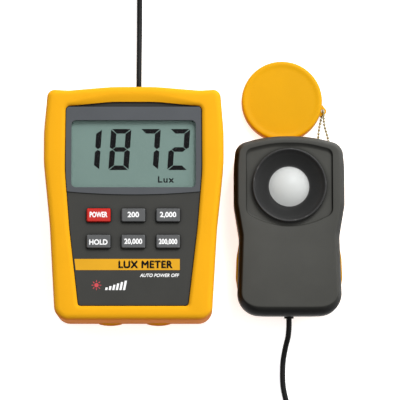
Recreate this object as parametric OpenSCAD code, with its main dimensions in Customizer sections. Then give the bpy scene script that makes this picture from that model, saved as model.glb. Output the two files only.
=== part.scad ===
// Hand-held light meter lying on its back, with its wired sensor head, the head's
// dust cap on a ball chain, and the sensor cord. Millimetres, +Z up, faces upward.

/* [Whole object] */
// Width over both units
total_w = 162.6; // [162:0.1:164]
// Length over the cap's far edge and the meter's feet
total_l = 146; // [146:0.1:147]

/* [Meter] */
// Width of the meter at its widest
meter_w = 97; // [96:0.1:97.2]
// Length of the meter
meter_l = 126.4; // [126:0.1:127]
// Height of the meter, lying on its back
meter_h = 36; // [36:0.1:37]
// Wall of the rubber holster
holster_wall = 3.2; // [3:0.1:3.4]
// Wall of the case halves
case_wall = 2.2; // [2:0.1:2.4]
// Height of the joint between the case halves
case_split = 17; // [16:0.1:18]
// How far the panel lies below the holster's rim
panel_drop = 1.4; // [1.2:0.1:1.6]

/* [Display] */
// Width of the visible display
lcd_w = 67; // [65:0.1:67.5]
// Height of the visible display
lcd_l = 36.4; // [35:0.1:37]
// Middle of the display, from the middle of the meter
lcd_y = 26.3; // [26:0.1:26.6]

/* [Keys] */
// Width of a key
key_w = 12.8; // [12:0.1:13]
// Length of a key
key_l = 7.3; // [7:0.1:7.5]
// Distance between columns of keys
key_pitch_x = 18.6; // [18.4:0.1:19]
// Distance between rows of keys
key_pitch_y = 14.2; // [14:0.1:14.6]
// Middle of the upper row of keys, from the middle of the meter
key_y = -7.1; // [-7.4:0.1:-6.8]
// How far a key can be pressed
key_travel = 0.8; // [0.5:0.1:0.9]
// How far a key stands above the panel
key_proud = 1.9; // [1.5:0.1:2.2]

/* [Sensor head] */
// Width of the sensor head
head_w = 60.1; // [59.8:0.1:60.4]
// Length of the sensor head
head_l = 97.8; // [97.4:0.1:98.2]
// Height of the head's front face
head_h = 25; // [24.8:0.1:25.4]
// Height of the joint between the head's shells
head_split = 13; // [12.6:0.1:13.2]
// Wall of the head's shells
head_wall = 2; // [1.8:0.1:2.2]
// Middle of the dome, from the middle of the head
dome_y = 21.4; // [21.2:0.1:21.6]
// Outer radius of the bowl's lip
bowl_r = 20; // [19.8:0.1:20.1]
// Radius of the opal dome at its edge
dome_r = 10.9; // [10.6:0.1:11]

/* [Dust cap and chain] */
// Outer radius of the dust cap
cap_r = 22.2; // [22:0.1:22.3]
// Height of the dust cap
cap_h = 6.4; // [6.2:0.1:6.6]
// Diameter of a ball of the chain
ball_d = 1.5; // [1.4:0.05:1.5]
// Distance between balls of the chain
ball_pitch = 1.9; // [1.8:0.05:2]

/* [Cord] */
// Diameter of the sensor cord
cord_d = 3; // [2.9:0.1:3.1]
// Mid radius of the coil
coil_r = 17.3; // [17.1:0.1:17.5]

/* [Hidden] */
$fn = 48;

yellow = "#fdb022";
dark = "#4a4a46";
grey = "#5e6064";
black = "#1c1c1c";

foot_proud = 0.9;
foot_x = 13.1;
foot_r = 22.5;
foot_half = 7;
meter_x = -total_w / 2 + meter_w / 2;
meter_y = -total_l / 2 + foot_proud + meter_l / 2;
head_x = total_w / 2 - head_w / 2;
head_y = -19.8;
cap_x = 48;
cap_y = total_l / 2 - cap_r;
hw = meter_w / 2;
hl = meter_l / 2;
sw = head_w / 2;
sl = head_l / 2;
gap = 0.1;
arc_step = 9;

// ---- outlines: each vertex is [x, y, corner radius], the right half from the top down

meter_outline = mirrored([
    [12, hl, 90], [0.73 * hw, hl - 2, 25], [hw - 1.9, hl - 1.3, 4.2], [hw, 38, 60],
    [hw, 22, 50], [hw - 3.5, -12, 100], [hw - 6.5, -hl, 7.8]
]);
panel_outline = mirrored([
    [12, hl - 8.6, 70], [36.7, hl - 11, 2.6], [36.9, 17, 80], [34.4, -14, 60],
    [29.5, -hl + 7.5, 1.6]
]);
head_outline = mirrored([
    [12, sl, 75], [sw - 1.1, sl - 4.7, 7.6], [sw, 32, 60], [sw, 11, 12], [sw - 2.9, -6, 18],
    [sw - 1.5, -sl + 0.9, 12], [14, -sl, 70]
]);
head_rear_outline = mirrored([
    [12, sl, 75], [sw - 1.1, sl - 4.7, 7.6], [sw, 32, 60], [sw, 11, 12], [sw - 3, -8, 12],
    [sw - 1.5, -17, 12], [sw - 1.1, -28, 10], [sw - 2.2, -35, 8],
    [sw - 1.7, -sl + 2.2, 10], [14, -sl + 1.3, 70]
]);
plate_outline = mirrored([
    [9, sl - 4.3, 60], [23.5, sl - 8, 4], [23.5, 5.8, 5], [14.5, 1.4, 30], [5, -1.1, 35]
]);

function mirrored(half) =
    concat(half, [for (i = [len(half) - 1:-1:0]) [-half[i][0], half[i][1], half[i][2]]]);
function flat(v) = [v[0], v[1]];
function unit(v) = v / norm(v);
function turn(a, b) = a[0] * b[1] - a[1] * b[0];
// Travel direction into and out of vertex i
function way_in(v, i) = unit(flat(v[i]) - flat(v[(i + len(v) - 1) % len(v)]));
function way_out(v, i) = unit(flat(v[(i + 1) % len(v)]) - flat(v[i]));
// The outline moved inward by d, its arcs kept concentric
function inset_outline(v, d) = [
    for (i = [0:len(v) - 1])
        let (a = way_in(v, i), b = way_out(v, i))
        let (na = [-a[1], a[0]], nb = [-b[1], b[0]])
        let (p = flat(v[i]) - d * (na + nb) / (1 + na * nb))
        let (r = turn(a, b) < 0 ? max(v[i][2] - d, 0.3) : v[i][2] + d)
        [p[0], p[1], r]
];
// The outline as points, each corner an arc of its radius
function rounded(v) = [
    for (i = [0:len(v) - 1])
        let (a = way_in(v, i), b = way_out(v, i), side = turn(a, b) < 0 ? -1 : 1)
        let (bend = acos(min(1, a * b)), n = max(1, ceil(bend / arc_step)))
        let (r = v[i][2], t = r * tan(bend / 2), perp = side * [-a[1], a[0]])
        let (c = flat(v[i]) - t * a + r * perp)
        for (k = [0:n])
            let (w = side * bend * k / n)
            c - r * [perp[0] * cos(w) - perp[1] * sin(w), perp[0] * sin(w) + perp[1] * cos(w)]
];
function ring(v, d, z) = [for (p = rounded(inset_outline(v, d))) [p[0], p[1], z]];

// ---- smooth curves through points, and tubes and beads along them

function spline_at(a, b, c, d, t) =
    0.5 * (2 * b + (c - a) * t + (2 * a - 5 * b + 4 * c - d) * t * t
        + (3 * b - a - 3 * c + d) * t * t * t);
function smooth(p, step) = concat([
    for (i = [0:len(p) - 2])
        let (a = p[max(i - 1, 0)], b = p[i], c = p[i + 1], d = p[min(i + 2, len(p) - 1)])
        let (n = max(1, round(norm(c - b) / step)))
        for (k = [0:n - 1])
            spline_at(a, b, c, d, k / n)
], [p[len(p) - 1]]);
function closed_smooth(p, n) = [
    for (i = [0:len(p) - 1])
        let (m = len(p), a = p[(i + m - 1) % m], b = p[i], c = p[(i + 1) % m], d = p[(i + 2) % m])
        for (k = [0:n - 1])
            spline_at(a, b, c, d, k / n)
];
function lengths(p, i = 0, sum = 0) =
    i >= len(p) ? [] : concat([sum], lengths(p, i + 1, sum + norm(p[(i + 1) % len(p)] - p[i])));
function place_on(p, l, s, i = 0) =
    i == len(p) - 1 || l[i + 1] > s
    ? p[i] + (p[(i + 1) % len(p)] - p[i]) * (s - l[i]) / norm(p[(i + 1) % len(p)] - p[i])
    : place_on(p, l, s, i + 1);
function tangent(p, i) = unit(p[min(i + 1, len(p) - 1)] - p[max(i - 1, 0)]);
function across(t) = abs(t[2]) > 0.9 ? unit(cross(t, [0, 1, 0])) : unit(cross(t, [0, 0, 1]));

// ---- shared shapes

module loft(v, profile) {
    rings = [for (s = profile) ring(v, s[0], s[1])];
    n = len(rings[0]);
    m = len(rings);
    sides = [
        for (j = [0:m - 2], i = [0:n - 1])
            let (k = (i + 1) % n)
            each [[j * n + i, j * n + k, (j + 1) * n + k], [j * n + i, (j + 1) * n + k, (j + 1) * n + i]]
    ];
    bottom = [[for (i = [n - 1:-1:0]) i]];
    top = [[for (i = [0:n - 1]) (m - 1) * n + i]];
    polyhedron([for (r = rings) each r], concat(sides, bottom, top));
}

module prism(v, d, z0, z1) {
    translate([0, 0, z0])
        linear_extrude(z1 - z0)
            polygon([for (p = rounded(inset_outline(v, d))) flat(p)]);
}

module slab(w, l, z0, z1, r = 1) {
    outline = [[w / 2, l / 2, r], [w / 2, -l / 2, r], [-w / 2, -l / 2, r], [-w / 2, l / 2, r]];
    prism(outline, 0, z0, z1);
}

module rod(r, z0, z1) {
    translate([0, 0, z0])
        cylinder(h = z1 - z0, r = r);
}

module tube(p, d, sides) {
    rings = [
        for (i = [0:len(p) - 1])
            let (t = tangent(p, i), u = across(t), w = cross(u, t))
            for (k = [0:sides - 1])
                p[i] + d / 2 * (cos(360 * k / sides) * u + sin(360 * k / sides) * w)
    ];
    m = len(p);
    walls = [
        for (j = [0:m - 2], i = [0:sides - 1])
            let (k = (i + 1) % sides, a = j * sides, b = (j + 1) * sides)
            each [[a + i, b + i, b + k], [a + i, b + k, a + k]]
    ];
    first = [[for (i = [0:sides - 1]) i]];
    last = [[for (i = [sides - 1:-1:0]) (m - 1) * sides + i]];
    polyhedron(rings, concat(walls, first, last));
}

module at_meter() {
    translate([meter_x, meter_y, 0])
        children();
}

module at_head() {
    translate([head_x, head_y, 0])
        children();
}

module at_each(places) {
    for (p = places)
        translate([p[0], p[1], 0])
            children();
}

// ---- meter: case and holster

rim_z = meter_h;
panel_z = meter_h - panel_drop;
lip_z = meter_h - 2.5;
back_z = 2.3;
floor_z = back_z + 2;
case_in = holster_wall + gap;
room_in = case_in + case_wall;
plate_z = lip_z - 2.5;
screw_places = [[36.5, 50], [-36.5, 50], [32.5, -52.8], [-32.5, -52.8]];
screw_r = 1.4;
gland_x = 2.2;
gland_z = 11;
gland_r = 2.6;
gland_proud = 0.6;

module across_y(x, y0, y1, z, r) {
    translate([x, y0, z])
        rotate([-90, 0, 0])
            cylinder(h = y1 - y0, r = r);
}

module across_x(x0, x1, y, z, r) {
    translate([x0, y, z])
        rotate([0, 90, 0])
            cylinder(h = x1 - x0, r = r);
}

module holster() {
    back_window = 7;
    color(yellow)
        at_meter()
            difference() {
                union() {
                    loft(meter_outline, [
                        [3.2, 0], [1.7, 0.6], [0.6, 2.2], [0, 5.5], [0, rim_z - 5], [0.3, rim_z - 3],
                        [1.1, rim_z - 1.3], [2.3, rim_z - 0.35], [3.8, rim_z]
                    ]);
                    for (x = [-foot_x, foot_x])
                        intersection() {
                            translate([x, -hl - foot_proud + foot_r, 1.2])
                                cylinder(h = 8, r = foot_r);
                            box(x - foot_half, x + foot_half, -hl - 2, -hl + 2, 0, 12);
                        }
                }
                prism(meter_outline, holster_wall, back_z - gap, lip_z + gap);
                loft(panel_outline, [[0, lip_z - 1], [0, rim_z - 0.8], [-0.8, rim_z], [-0.8, rim_z + 1]]);
                prism(meter_outline, back_window, -1, back_z + 1);
                across_y(gland_x, hl - 8, hl + 5, gland_z, gland_r + gap);
            }
}

key_places = [
    [-key_pitch_x, key_y], [0, key_y], [key_pitch_x, key_y],
    [-key_pitch_x, key_y - key_pitch_y], [0, key_y - key_pitch_y], [key_pitch_x, key_y - key_pitch_y]
];
bezel_y = lcd_y - lcd_l / 2 - 4;
bezel_bow = 0.0013;
bezel_top = hl - 11.4;
key_gap = 0.25;

// The upper part of the panel that the bezel fills, its lower edge bowed
module bezel_area(shift, z0, z1) {
    edge = [for (x = [-42:6:42]) [x, bezel_y - shift + bezel_bow * x * x]];
    translate([0, 0, z0])
        linear_extrude(z1 - z0)
            polygon(concat(edge, [[42, hl], [-42, hl]]));
}

module front_case() {
    color(dark)
        at_meter()
            difference() {
                union() {
                    difference() {
                        prism(meter_outline, case_in, case_split, lip_z);
                        prism(meter_outline, room_in, case_split - 1, plate_z);
                    }
                    prism(panel_outline, 0.4, plate_z, panel_z);
                    at_each(screw_places)
                        rod(3.2, case_split, plate_z + 0.5);
                    at_each(pcb_places)
                        rod(2.6, pcb_z + pcb_t, plate_z + 0.5);
                }
                bezel_area(0, lip_z, rim_z);
                translate([0, lcd_y, 0])
                    slab(lcd_w + 3, lcd_l + 3, plate_z - 1, rim_z, 1.5);
                at_each(key_places)
                    slab(key_w + 2 * key_gap, key_l + 2 * key_gap, plate_z - 1, rim_z, 1.2);
                at_each(screw_places)
                    rod(screw_r + 0.05, case_split - 1, case_split + 9);
                at_each(pcb_places)
                    rod(1.05, pcb_z, pcb_z + pcb_t + 5);
            }
}

bay_x0 = -28;
bay_x1 = 30;
bay_y0 = -51;
bay_y1 = -21;
bay_wall = 1.5;
door_t = 1.8;
door_pin_y = bay_y0 + 1.6;
door_pin_z = back_z + 1.1;
stand_w = 52;
stand_y0 = -12;
stand_pin_y = 42;
stand_pin_z = back_z + 1.4;
stand_recess = 2.8;

module box(x0, x1, y0, y1, z0, z1) {
    translate([x0, y0, z0])
        cube([x1 - x0, y1 - y0, z1 - z0]);
}

module rear_case() {
    bay_top = case_split - 0.5;
    pad = stand_w / 2 + 5;
    color(dark)
        at_meter()
            difference() {
                union() {
                    difference() {
                        prism(meter_outline, case_in, back_z, case_split);
                        prism(meter_outline, room_in, floor_z, case_split + 1);
                    }
                    box(-pad, pad, stand_y0 - 8, stand_pin_y + 4, floor_z - 0.5, back_z + stand_recess + 2);
                    box(bay_x0 - bay_wall, bay_x1 + bay_wall, bay_y0 - bay_wall, bay_y1 + bay_wall,
                        floor_z - 0.5, bay_top);
                    at_each(screw_places)
                        rod(3.6, floor_z - 0.5, case_split);
                }
                box(bay_x0, bay_x1, bay_y0 + 3, bay_y1, back_z - 1, bay_top + 1);
                box(bay_x0, bay_x1, bay_y0, bay_y0 + 3.5, back_z - 1, floor_z + 0.3);
                box(-stand_w / 2 - gap, stand_w / 2 + gap, stand_y0 - 1.5, stand_pin_y + 1.6,
                    back_z - 1, back_z + stand_recess);
                across_x(-stand_w / 2 - 3.3, stand_w / 2 + 3.3, stand_pin_y, stand_pin_z, 1.05);
                across_x(bay_x0 - 1.2, bay_x1 + 1.2, door_pin_y, door_pin_z, 0.85);
                translate([0, stand_y0 - 1.5, 0])
                    rod(5, back_z - 1, back_z + stand_recess);
                at_each(screw_places)
                    rod(screw_r + 0.1, 0, case_split + 1);
                at_each(screw_places)
                    rod(3, 0, back_z + 3);
                across_y(gland_x, hl - 12, hl, gland_z, gland_r + 0.02);
            }
}

module case_screws() {
    color("silver")
        at_meter()
            at_each(screw_places)
                difference() {
                    union() {
                        rod(2.8, back_z + 0.6, back_z + 3);
                        rod(screw_r, back_z + 3, case_split + 8);
                    }
                    rotate([0, 0, 45])
                        box(-1.6, 1.6, -0.35, 0.35, 0, back_z + 1.6);
                    rotate([0, 0, 135])
                        box(-1.6, 1.6, -0.35, 0.35, 0, back_z + 1.6);
                }
}

module cord_gland() {
    inner_y = hl - room_in;
    color(black)
        at_meter() {
            across_y(gland_x, inner_y - 2, hl + gland_proud, gland_z, gland_r);
            across_y(gland_x, inner_y - 2, inner_y, gland_z, gland_r + 0.9);
        }
}

// ---- meter: display and front plate

module lcd_bezel() {
    color(grey)
        at_meter()
            difference() {
                intersection() {
                    prism(panel_outline, 0.4, lip_z, panel_z + 0.6);
                    bezel_area(-gap, lip_z, rim_z);
                    box(-hw, hw, 0, bezel_top, 0, rim_z);
                }
                translate([0, lcd_y, 0])
                    slab(lcd_w, lcd_l, lip_z - 1, rim_z, 2.6);
            }
}

module lcd_window() {
    color("lightblue", 0.3)
        at_meter()
            translate([0, lcd_y, 0])
                slab(lcd_w + 2.6, lcd_l + 2.6, lip_z - 1.1, lip_z - gap, 1.3);
}

lcd_glass_z = lip_z - 1.3;

module lcd_panel() {
    color("#7a958c")
        at_meter()
            translate([0, lcd_y, 0]) {
                slab(lcd_w + 2.6, lcd_l + 2.6, lcd_glass_z - 1.1, lcd_glass_z, 1.4);
                slab(lcd_w + 2.6, lcd_l - 1.4, lcd_glass_z - 2.4, lcd_glass_z - 1.1, 1.4);
            }
}

module lcd_holder() {
    color("white")
        at_meter()
            translate([0, lcd_y, 0])
                difference() {
                    slab(lcd_w + 2.6, lcd_l + 2.6, pcb_z + pcb_t, lcd_glass_z - 2.5, 1.4);
                    slab(lcd_w - 3, lcd_l - 6, pcb_z, lcd_glass_z, 1);
                    for (side = [-1, 1])
                        translate([0, side * (lcd_l / 2 - 0.6), 0])
                            slab(lcd_w - 3, 1.6, pcb_z, lcd_glass_z, 0.3);
                }
}

module zebra_strips() {
    color("pink")
        at_meter()
            for (side = [-1, 1])
                translate([0, lcd_y + side * (lcd_l / 2 - 0.6), 0])
                    slab(lcd_w - 3.4, 1.4, pcb_z + pcb_t, lcd_glass_z - 1.1 - 1.3, 0.3);
}

module label_strip() {
    color("#d9a520")
        at_meter()
            intersection() {
                prism(panel_outline, 1, panel_z, panel_z + 0.15);
                box(-36, 24.9, -36.5, -30.5, panel_z - 1, rim_z);
            }
}

// ---- meter: keys and circuit board

pcb_z = 22.4;
pcb_t = 1.6;
pcb_places = [[33.5, -1], [-33.5, -1], [28, -46], [-28, -46]];
switch_h = 4;
plunger_in = 1.2;
key_top = panel_z + key_proud;
flange_z = plate_z - 0.1 - 1;

module key(i, shade) {
    color(shade)
        at_meter()
            translate([key_places[i][0], key_places[i][1], 0]) {
                slab(key_w, key_l, flange_z, key_top - 0.5, 1);
                hull() {
                    slab(key_w, key_l, key_top - 0.6, key_top - 0.5, 1);
                    slab(key_w - 1, key_l - 1, key_top - 0.1, key_top, 0.6);
                }
                slab(key_w + 2, key_l + 2, flange_z, flange_z + 1, 1.4);
                rod(1.7, pcb_z + pcb_t + switch_h - plunger_in, flange_z + 0.5);
            }
}

module tact_switches() {
    top = pcb_z + pcb_t + switch_h;
    color(black)
        at_meter()
            at_each(key_places)
                difference() {
                    slab(6.4, 6.4, pcb_z + pcb_t, top, 0.5);
                    rod(1.75, top - plunger_in - key_travel - 0.2, top + 1);
                }
}

module main_pcb() {
    color("green")
        at_meter()
            difference() {
                union() {
                    translate([0, 27.5, 0])
                        slab(76, 55, pcb_z, pcb_z + pcb_t, 3);
                    translate([0, -23, 0])
                        slab(66, 56, pcb_z, pcb_z + pcb_t, 3);
                    translate([0, -2, 0])
                        slab(73, 12, pcb_z, pcb_z + pcb_t, 2);
                }
                at_each(pcb_places)
                    rod(1.1, pcb_z - 1, pcb_z + 3);
                at_each(screw_places)
                    rod(3.5, pcb_z - 1, pcb_z + 3);
            }
}

module pcb_screws() {
    color("silver")
        at_meter()
            at_each(pcb_places) {
                rod(2, pcb_z - 1.3, pcb_z);
                rod(1, pcb_z - 0.5, pcb_z + pcb_t + 4.5);
            }
}

module control_chip() {
    color(black)
        at_meter()
            translate([0, 26, 0]) {
                slab(14, 14, pcb_z - 1.8, pcb_z - 0.3, 0.6);
                for (i = [-5:1:5], w = [0, 90])
                    rotate([0, 0, w])
                        box(i - 0.2, i + 0.2, -8.2, 8.2, pcb_z - 0.5, pcb_z);
            }
}

module capacitors() {
    color("navy")
        at_meter()
            at_each([[-24, 40], [-24, 24], [22, 44]])
                rod(3, pcb_z - 8, pcb_z);
}

module trimmers() {
    color("royalblue")
        at_meter()
            at_each([[22, 6], [30, 6], [14, 6]])
                difference() {
                    slab(6.6, 6.6, pcb_z - 4.5, pcb_z, 0.4);
                    box(-1.5, 1.5, -0.4, 0.4, pcb_z - 5, pcb_z - 3.9);
                }
}

// ---- meter: battery, door and stand

battery_x0 = -27.6;
battery_l = 48.5;
battery_y = -34.7;
battery_z0 = floor_z + 0.2;

module battery() {
    color("#333399")
        at_meter() {
            translate([battery_x0 + 23.3, battery_y, 0])
                slab(46.6, 26.2, battery_z0, battery_z0 + 16.6, 2);
            for (side = [-1, 1])
                across_x(battery_x0 + 46.6, battery_x0 + battery_l, battery_y + side * 6.35,
                    battery_z0 + 8.3, 3);
        }
}

module battery_clip() {
    x0 = battery_x0 + 46.7;
    color(black)
        at_meter()
            difference() {
                box(x0, x0 + 4.6, battery_y - 12.5, battery_y + 12.5, battery_z0 + 1.5, battery_z0 + 15);
                for (side = [-1, 1])
                    across_x(x0 - 1, x0 + 2.2, battery_y + side * 6.35, battery_z0 + 8.3, 3.1);
            }
}

// The clip's two wires, up to the underside of the board
module battery_leads() {
    x0 = battery_x0 + 51.3;
    for (side = [-1, 1])
        color(side < 0 ? "red" : black)
            at_meter()
                tube(smooth([
                    [x0, battery_y + 3 * side, 15], [x0 + 1.6, battery_y + 3.2 * side, 16.6],
                    [x0 + 2.2, battery_y + 3 + 2.4 * side, 18.6],
                    [x0 + 1.8, battery_y + 5 + 2 * side, 20.6],
                    [x0 + 1.8, battery_y + 5.4 + 2 * side, pcb_z]
                ], 1.6), 1.2, 8);
}

module battery_door() {
    x0 = bay_x0 + 0.3;
    x1 = bay_x1 - 0.3;
    color(dark)
        at_meter()
            difference() {
                union() {
                    box(x0, x1, door_pin_y, bay_y1 - 0.3, back_z, back_z + door_t);
                    across_x(x0, x1, door_pin_y, door_pin_z, 1.1);
                    across_x(bay_x0 - 1.1, bay_x1 + 1.1, door_pin_y, door_pin_z, 0.8);
                }
                for (i = [0:4])
                    box(-6, 10, bay_y1 - 4 - 1.6 * i, bay_y1 - 3.2 - 1.6 * i, back_z - 1, back_z + 0.5);
            }
}

module tilt_stand() {
    color(dark)
        at_meter()
            difference() {
                union() {
                    box(-stand_w / 2 + 0.3, stand_w / 2 - 0.3, stand_y0, stand_pin_y, back_z + 0.1,
                        back_z + 2.3);
                    across_x(-stand_w / 2 + 0.3, stand_w / 2 - 0.3, stand_pin_y, stand_pin_z, 1.15);
                    across_x(-stand_w / 2 - 3, stand_w / 2 + 3, stand_pin_y, stand_pin_z, 1);
                }
                translate([0, 16, 0])
                    slab(stand_w - 12, 38, 0, back_z + 0.9, 4);
            }
}

// ---- sensor head

pin_x = 19.8;
pin_y = 41.5;
pin_recess_r = 7;
pin_recess_z = 4;
pin_places = [[pin_x, pin_y], [pin_x + 4.5, pin_y + 1.5]];
head_screw_places = [[22.6, 27], [-22.6, 27], [20.5, -38], [-20.5, -38]];
head_gland_z = 8;
head_post_places = [[12, 31], [-12, 31], [12, 4], [-12, 4]];
bowl_z = head_h - 1.1;

module head_front() {
    color(dark)
        at_head()
            difference() {
                union() {
                    difference() {
                        loft(head_outline, [
                            [0, head_split], [0, head_h - 5], [0.35, head_h - 3.1],
                            [1.2, head_h - 1.3], [2.2, head_h - 0.35], [3.4, head_h]
                        ]);
                        prism(head_outline, head_wall, head_split - 1, head_h - 5);
                        prism(head_outline, head_wall + 3, head_split - 1, head_h - 3.4);
                    }
                    at_each(head_screw_places)
                        rod(3, head_split, head_h - 3);
                }
                prism(plate_outline, 0, bowl_z, head_h + 1);
                translate([0, dome_y, 0])
                    rod(17.4, head_split - 1, head_h + 1);
                at_each(head_screw_places)
                    rod(screw_r + 0.05, head_split - 1, head_h - 5);
            }
}

// What stands up inside the rear shell: screw bosses, board posts and the chain recess's roof
module head_rear_posts() {
    at_each(head_screw_places)
        rod(3.6, 0, head_split);
    at_each(head_post_places)
        rod(2, 0, sensor_pcb_z);
    at_each(pin_places)
        rod(pin_recess_r + 1.5, 0, pin_recess_z + 2.2);
}

module head_rear() {
    color(yellow)
        at_head()
            difference() {
                loft(head_rear_outline, [
                    [5.2, 0], [3, 0.9], [1.5, 2.8], [0.6, 6], [0, 10], [0, head_split]
                ]);
                difference() {
                    union() {
                        prism(head_rear_outline, head_wall + 3.4, 2.2, 5);
                        prism(head_outline, head_wall + 0.8, 4.9, head_split + 1);
                    }
                    head_rear_posts();
                }
                at_each(pin_places)
                    rod(pin_recess_r, -1, pin_recess_z);
                translate([pin_x, pin_y, 0])
                    rod(1, 3, pin_recess_z + 2);
                at_each(head_screw_places)
                    rod(screw_r + 0.1, -1, head_split + 1);
                at_each(head_screw_places)
                    rod(2.8, -1, 3);
                across_y(0, -sl - 2, -sl + 8, head_gland_z, gland_r + 0.02);
            }
}

module head_screws() {
    color("silver")
        at_head()
            at_each(head_screw_places)
                difference() {
                    union() {
                        rod(2.6, 1.2, 3);
                        rod(screw_r, 2.9, head_h - 6);
                    }
                    rotate([0, 0, 45])
                        box(-1.5, 1.5, -0.35, 0.35, 0, 2);
                    rotate([0, 0, 135])
                        box(-1.5, 1.5, -0.35, 0.35, 0, 2);
                }
}

module sensor_bowl() {
    color(black)
        at_head()
            translate([0, dome_y, 0])
                rotate_extrude($fn = 96)
                    polygon([
                        [bowl_r, bowl_z], [bowl_r, bowl_z + 2.7], [bowl_r - 0.4, bowl_z + 3.1],
                        [bowl_r - 1, bowl_z + 3.1], [bowl_r - 1.4, bowl_z + 2.7],
                        [dome_r + 0.9, bowl_z - 3.4], [dome_r + 0.5, bowl_z - 3.9],
                        [dome_r + 0.5, bowl_z - 5], [16, bowl_z - 5], [17.3, bowl_z - 3.4],
                        [17.3, bowl_z]
                    ]);
}

dome_flange_z = bowl_z - 6.1;

// Hollow opal dome with a flange under the bowl
module diffuser_dome() {
    rise = 8.6;
    sphere_r = (dome_r * dome_r + rise * rise) / (2 * rise);
    centre_z = bowl_z - 5 + rise - sphere_r;
    color("white")
        at_head()
            translate([0, dome_y, 0]) {
                intersection() {
                    translate([0, 0, centre_z])
                        difference() {
                            sphere(r = sphere_r, $fn = 64);
                            sphere(r = sphere_r - 1.3, $fn = 64);
                        }
                    rod(30, bowl_z - 5, head_h + 10);
                }
                difference() {
                    rod(dome_r + 2.6, dome_flange_z, bowl_z - 5);
                    rod(dome_r - 1.6, dome_flange_z - 1, bowl_z);
                }
            }
}

sensor_pcb_z = 8.4;

module filter_holder() {
    color(black)
        at_head()
            translate([0, dome_y, 0])
                difference() {
                    rod(12.4, sensor_pcb_z + 1.6, dome_flange_z);
                    rod(9.2, dome_flange_z - 2.2, dome_flange_z + 1);
                    slab(9.4, 9.4, sensor_pcb_z, dome_flange_z, 0.5);
                }
}

module photopic_filter() {
    color("#5fae6a", 0.6)
        at_head()
            translate([0, dome_y, 0])
                rod(9.1, dome_flange_z - 2.2, dome_flange_z - 0.3);
}

module photodiode() {
    color("#2c2c34")
        at_head()
            translate([0, dome_y, 0]) {
                slab(9.2, 9.2, sensor_pcb_z + 1.6, sensor_pcb_z + 3.4, 0.4);
                slab(7, 7, sensor_pcb_z + 3.4, sensor_pcb_z + 3.7, 0.3);
            }
}

module sensor_pcb() {
    color("green")
        at_head()
            translate([0, dome_y - 4, 0])
                slab(32, 40, sensor_pcb_z, sensor_pcb_z + 1.6, 2);
}

module head_gland() {
    inner_y = -sl + head_wall + 0.8;
    color(black)
        at_head() {
            across_y(0, -sl - gland_proud, inner_y + 2, head_gland_z, gland_r);
            across_y(0, inner_y, inner_y + 2, head_gland_z, gland_r + 0.4);
        }
}

module chain_pin() {
    color("silver")
        at_head()
            translate([pin_x, pin_y, 0]) {
                rod(0.98, 0.9, pin_recess_z + 1.9);
                rod(1.9, 0.3, 1);
            }
}

// ---- dust cap and ball chain

tab_x = 70.6;
tab_y = 45.5;
tab_r = 1.95;
tab_hole_r = 0.95;
tab_z = 2.1;
tab_t = 1.2;
chain_low = 0.8;
chain_route = [
    [70.6, 45.5, 2.7], [70.6, 45.3, 3.9], [70.8, 44.2, 4.4], [71, 42.8, 4.1],
    [71.1, 41.3, 2.9], [71.3, 39.6, 1.5], [71.7, 37.4, chain_low], [72.3, 35, chain_low],
    [73, 32.4, chain_low], [73.6, 29.8, chain_low], [73.7, 27.2, 1.2], [73.4, 24.6, 2],
    [72.8, 21.5, 2.1], [71.1, 19.7, 2.1], [69.3, 21.5, 2.1], [68.6, 24.6, 2],
    [68.3, 27.2, 1.2], [68.2, 29.8, chain_low], [68.2, 32.4, chain_low], [68.5, 35, chain_low],
    [68.9, 37.6, chain_low], [69.5, 40.2, chain_low], [70, 42.6, chain_low], [70.4, 44.4, 1.1]
];
chain_path = closed_smooth(chain_route, 6);
chain_lengths = lengths(chain_path);
chain_l = chain_lengths[len(chain_path) - 1] + norm(chain_path[0] - chain_path[len(chain_path) - 1]);
ball_count = floor(chain_l / ball_pitch);
balls = [for (i = [0:ball_count - 1]) place_on(chain_path, chain_lengths, chain_l * i / ball_count)];
coupling_i = 19;

module link(a, b, r) {
    v = b - a;
    translate(a)
        rotate([0, acos(v[2] / norm(v)), atan2(v[1], v[0])])
            cylinder(h = norm(v), r = r);
}

module ball_chain() {
    color("#b8b28a") {
        for (p = balls)
            translate(p)
                sphere(d = ball_d, $fn = 16);
        for (i = [0:ball_count - 1])
            link(balls[i], balls[(i + 1) % ball_count], 0.25, $fn = 8);
    }
}

module chain_coupling() {
    a = balls[coupling_i];
    b = balls[coupling_i + 1];
    color("#b8b28a")
        difference() {
            link(a - 0.6 * unit(b - a), b + 0.6 * unit(b - a), ball_d / 2 + 0.3);
            link(a - 1.6 * unit(b - a), b + 1.6 * unit(b - a), ball_d / 2 + 0.02);
        }
}

module dust_cap() {
    cap_wall = 1.7;
    color(yellow)
        difference() {
            union() {
                translate([cap_x, cap_y, 0])
                    rotate_extrude($fn = 128)
                        polygon([
                            [0, cap_h - 1.5], [cap_r - cap_wall, cap_h - 1.5], [cap_r - cap_wall, 0],
                            [cap_r, 0], [cap_r, cap_h - 1.6], [cap_r - 0.5, cap_h - 0.6],
                            [cap_r - 1.4, cap_h], [cap_r - 3, cap_h], [cap_r - 3.6, cap_h - 0.3],
                            [0, cap_h - 0.3]
                        ]);
                difference() {
                    translate([tab_x, tab_y, tab_z])
                        cylinder(h = tab_t, r = tab_r);
                    translate([cap_x, cap_y, 0])
                        rod(cap_r - 1, -1, cap_h);
                }
            }
            translate([tab_x, tab_y, -1])
                cylinder(h = cap_h, r = tab_hole_r);
        }
}

// ---- sensor cord

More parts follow.
